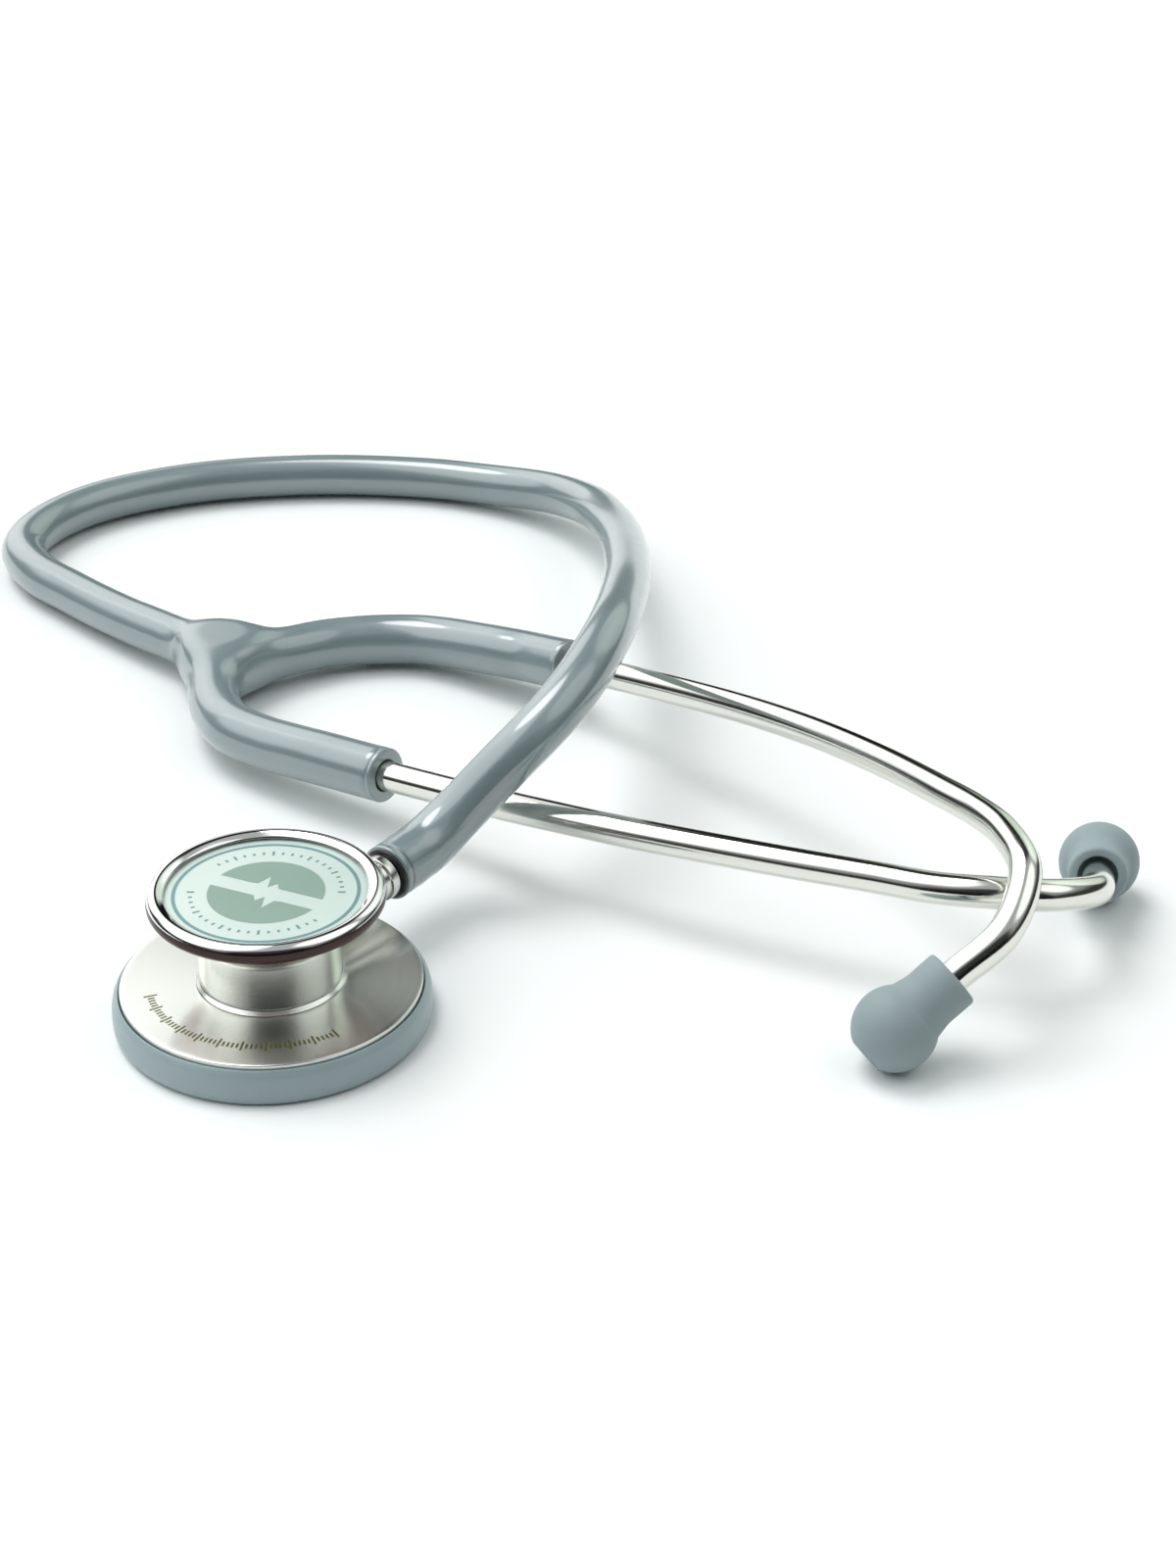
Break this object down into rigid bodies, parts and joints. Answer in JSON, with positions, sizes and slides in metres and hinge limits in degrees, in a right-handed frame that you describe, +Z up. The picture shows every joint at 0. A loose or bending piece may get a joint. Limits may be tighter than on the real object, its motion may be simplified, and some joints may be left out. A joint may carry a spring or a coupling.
{
  "type": "stethoscope",
  "caption": "Dual-head stethoscope lying flat: turning chestpiece on a stem, hose, moulded Y yoke, steel ear tubes and soft eartips.",
  "frame": {"origin": "on the surface it lies on, under the middle of the box of everything but the free hose", "axes": "+Z up; +X from the chestpiece side towards the eartips; +Y away from the viewer towards the hose's loop"},
  "size_m": [0.2032, 0.2235, 0.0354],
  "materials": {
    "brushed_metal": "turned and radially brushed",
    "polished_metal": "mirror polished",
    "polished_tube": "drawn and polished",
    "spring_metal": "plain rolled",
    "grey_vinyl": "glossy moulded",
    "frosted_disc": "satin",
    "dial_disc": "satin with a printed ring",
    "black_seal": "matt",
    "brass_thread": "machined",
    "hard_insert": "moulded",
    "grey_silicone": "matt soft skin"
  },
  "bodies": {
    "sound_line": {"stem": "polished_metal", "stem_seal": "black_seal", "hose": "grey_vinyl", "yoke": "grey_vinyl", "leaf_spring": "spring_metal"},
    "chestpiece": {"chest_body": "brushed_metal", "large_rim": "grey_vinyl", "small_rim": "polished_metal", "small_gasket": "black_seal", "stem_bush": "brushed_metal", "detent_spring": "brushed_metal", "detent_plug": "brushed_metal"},
    "large_disc": {"large_diaphragm": "frosted_disc"},
    "small_disc": {"small_diaphragm": "dial_disc"},
    "detent": {"detent_ball": "brushed_metal"},
    "left_side": {"tube_socket_left": "grey_vinyl", "binaural_tube_left": "polished_tube", "ear_nipple_left": "brass_thread"},
    "right_side": {"tube_socket_right": "grey_vinyl", "binaural_tube_right": "polished_tube", "ear_nipple_right": "brass_thread"},
    "left_tip": {"eartip_left": "grey_silicone", "eartip_insert_left": "hard_insert"},
    "right_tip": {"eartip_right": "grey_silicone", "eartip_insert_right": "hard_insert"}
  },
  "joints": [
    {"name": "chestpiece_turn", "type": "hinge", "parent": "sound_line", "child": "chestpiece", "pos_m": [-0.05137, -0.04863, 0.0115], "axis": [0.5878, 0.809, 0], "continuous": true},
    {"name": "large_disc_press", "type": "slide", "parent": "chestpiece", "child": "large_disc", "axis": [0, 0, 1], "range_m": [0, 0.0003], "stiffness_N_per_m": 2000},
    {"name": "small_disc_press", "type": "slide", "parent": "chestpiece", "child": "small_disc", "axis": [0, 0, -1], "range_m": [0, 0.0002], "stiffness_N_per_m": 2000},
    {"name": "detent_press", "type": "slide", "parent": "chestpiece", "child": "detent", "axis": [-0.5878, -0.809, 0], "range_m": [0, 0.0003], "stiffness_N_per_m": 500, "deforming": ["detent_spring"]},
    {"name": "right_side_spread", "type": "hinge", "parent": "sound_line", "child": "right_side", "pos_m": [-0.01977, 0.05787, 0.0073], "axis": [-0.6642, -0.3331, 0.6692], "range_deg": [0, 18], "stiffness_Nm_per_rad": 1.2},
    {"name": "left_side_spread", "type": "hinge", "parent": "sound_line", "child": "left_side", "pos_m": [-0.05427, 0.01917, 0.0079], "axis": [0, 0, 1], "range_deg": [-4.6, 0], "stiffness_Nm_per_rad": 1.2},
    {"name": "left_tip_unscrew", "type": "hinge", "parent": "left_side", "child": "left_tip", "pos_m": [0.0754, -0.02014, 0.00825], "axis": [0.1957, 0.9267, -0.3207], "continuous": true},
    {"name": "right_tip_unscrew", "type": "hinge", "parent": "right_side", "child": "right_tip", "pos_m": [0.04394, -0.05983, 0.00972], "axis": [-0.7542, -0.3277, -0.569], "continuous": true}
  ],
  "couplings": [
    {"joint": "left_side_spread", "follows": "right_side_spread", "ratio": -0.25}
  ]
}
